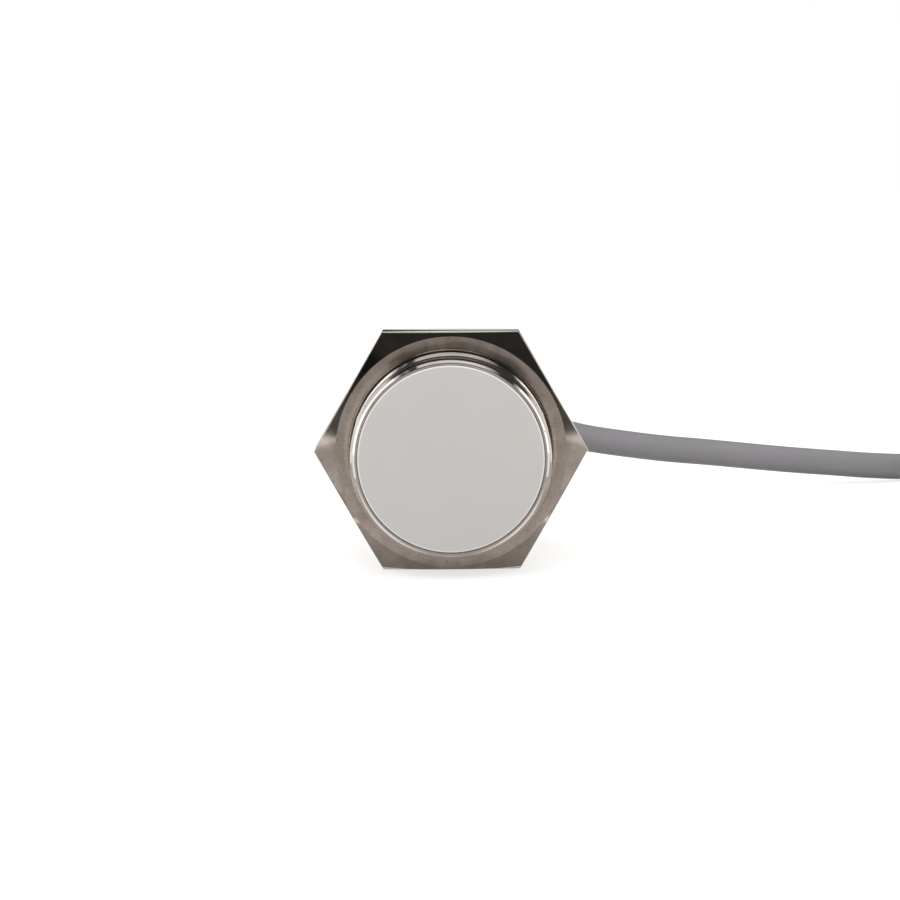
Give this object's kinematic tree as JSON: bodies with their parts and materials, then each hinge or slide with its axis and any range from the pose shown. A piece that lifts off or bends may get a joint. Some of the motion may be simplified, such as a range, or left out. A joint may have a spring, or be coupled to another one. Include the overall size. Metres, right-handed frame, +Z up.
{
  "type": "speed sensor",
  "caption": "Cylindrical inductive speed sensor with a threaded barrel, a flat plastic sensing face, hexagon nuts and a fixed cable put away as a tied coil.",
  "frame": {"origin": "centre of the sensing face", "axes": "-Y out of the sensing face, +Y along the barrel towards the cable, +Z up, square to a flat of the front nut"},
  "size_m": [0.1774, 0.182, 0.0362],
  "materials": {
    "nickel_brass": "nickel-plated turned brass, fine satin",
    "washer_steel": "zinc-plated spring steel",
    "face_plastic": "moulded matte, warm light grey",
    "dark_plastic": "moulded matte, dark grey",
    "former_plastic": "moulded, natural",
    "seal_rubber": "black nitrile rubber",
    "ferrite": "sintered, ground",
    "copper_wire": "enamelled copper",
    "board": "solder mask over glass fibre",
    "chip_plastic": "moulded epoxy",
    "crystal_can": "drawn can",
    "capacitor_plastic": "moulded epoxy, yellow",
    "ceramic": "fired ceramic",
    "resistor_glaze": "glazed",
    "solder": "bright, flowed",
    "green_lens": "clear moulded, green",
    "amber_lens": "clear moulded, amber",
    "trimmer_plastic": "moulded, blue",
    "screw_brass": "turned brass",
    "resin": "cast resin, dark amber",
    "clear_plastic": "clear acrylic",
    "relief_plastic": "moulded flexible plastic, matte",
    "clamp_steel": "drawn and crimped",
    "brown_insulation": "extruded",
    "blue_insulation": "extruded",
    "black_insulation": "extruded",
    "tinned_copper": "tinned strands",
    "cable_jacket": "extruded soft plastic, mid grey",
    "tie_plastic": "moulded strap"
  },
  "bodies": {
    "sensor": {"barrel": "nickel_brass", "sensing_cap": "face_plastic", "front_seal": "seal_rubber", "ferrite_core": "ferrite", "coil_former": "former_plastic", "coil_winding": "copper_wire", "core_holder": "dark_plastic", "coil_leads": "copper_wire", "circuit_board": "board", "oscillator_chip": "chip_plastic", "pulse_counter_chip": "chip_plastic", "output_transistor": "chip_plastic", "voltage_regulator": "chip_plastic", "timing_crystal": "crystal_can", "protection_diodes": "chip_plastic", "filter_capacitors": "capacitor_plastic", "chip_capacitors": "ceramic", "chip_resistors": "resistor_glaze", "solder_joints": "solder", "power_led": "green_lens", "output_led": "amber_lens", "trimmer_body": "trimmer_plastic", "resin_fill": "resin", "rear_cap": "dark_plastic", "rear_seal": "seal_rubber", "power_light_guide": "clear_plastic", "output_light_guide": "clear_plastic", "strain_relief": "relief_plastic", "cable_clamp": "clamp_steel", "inner_core_brown": "brown_insulation", "inner_core_blue": "blue_insulation", "inner_core_black": "black_insulation", "cable": "cable_jacket", "cable_coil": "cable_jacket", "coil_ties": "tie_plastic", "core_brown": "brown_insulation", "core_blue": "blue_insulation", "core_black": "black_insulation", "core_ends": "tinned_copper"},
    "front_washer": {"front_washer": "washer_steel"},
    "front_nut": {"front_nut": "nickel_brass"},
    "rear_washer": {"rear_washer": "washer_steel"},
    "rear_nut": {"rear_nut": "nickel_brass"},
    "trimmer_screw": {"trimmer_screw": "screw_brass"},
    "trimmer_plug": {"trimmer_plug": "dark_plastic"}
  },
  "joints": [
    {"name": "front_washer_slide", "type": "slide", "parent": "sensor", "child": "front_washer", "axis": [0, 1, 0], "range_m": [-0.0113, 0]},
    {"name": "front_nut_turn", "type": "hinge", "parent": "front_washer", "child": "front_nut", "pos_m": [0, 0.018, 0], "axis": [0, 1, 0], "range_deg": [-2700, 0]},
    {"name": "rear_washer_slide", "type": "slide", "parent": "sensor", "child": "rear_washer", "axis": [0, 1, 0], "range_m": [0, 0.0301]},
    {"name": "rear_nut_turn", "type": "hinge", "parent": "rear_washer", "child": "rear_nut", "pos_m": [0, 0.025, 0], "axis": [0, 1, 0], "range_deg": [0, 7200]},
    {"name": "trimmer_screw_turn", "type": "hinge", "parent": "sensor", "child": "trimmer_screw", "pos_m": [0, 0.0565, 0.0072], "axis": [0, 1, 0], "range_deg": [-2160, 2160]},
    {"name": "trimmer_plug_pull", "type": "slide", "parent": "sensor", "child": "trimmer_plug", "axis": [0, 1, 0], "range_m": [0, 0.012]}
  ],
  "couplings": [
    {"joint": "front_washer_slide", "follows": "front_nut_turn", "m_per_rad": 0.00023873},
    {"joint": "rear_washer_slide", "follows": "rear_nut_turn", "m_per_rad": 0.00023873}
  ]
}
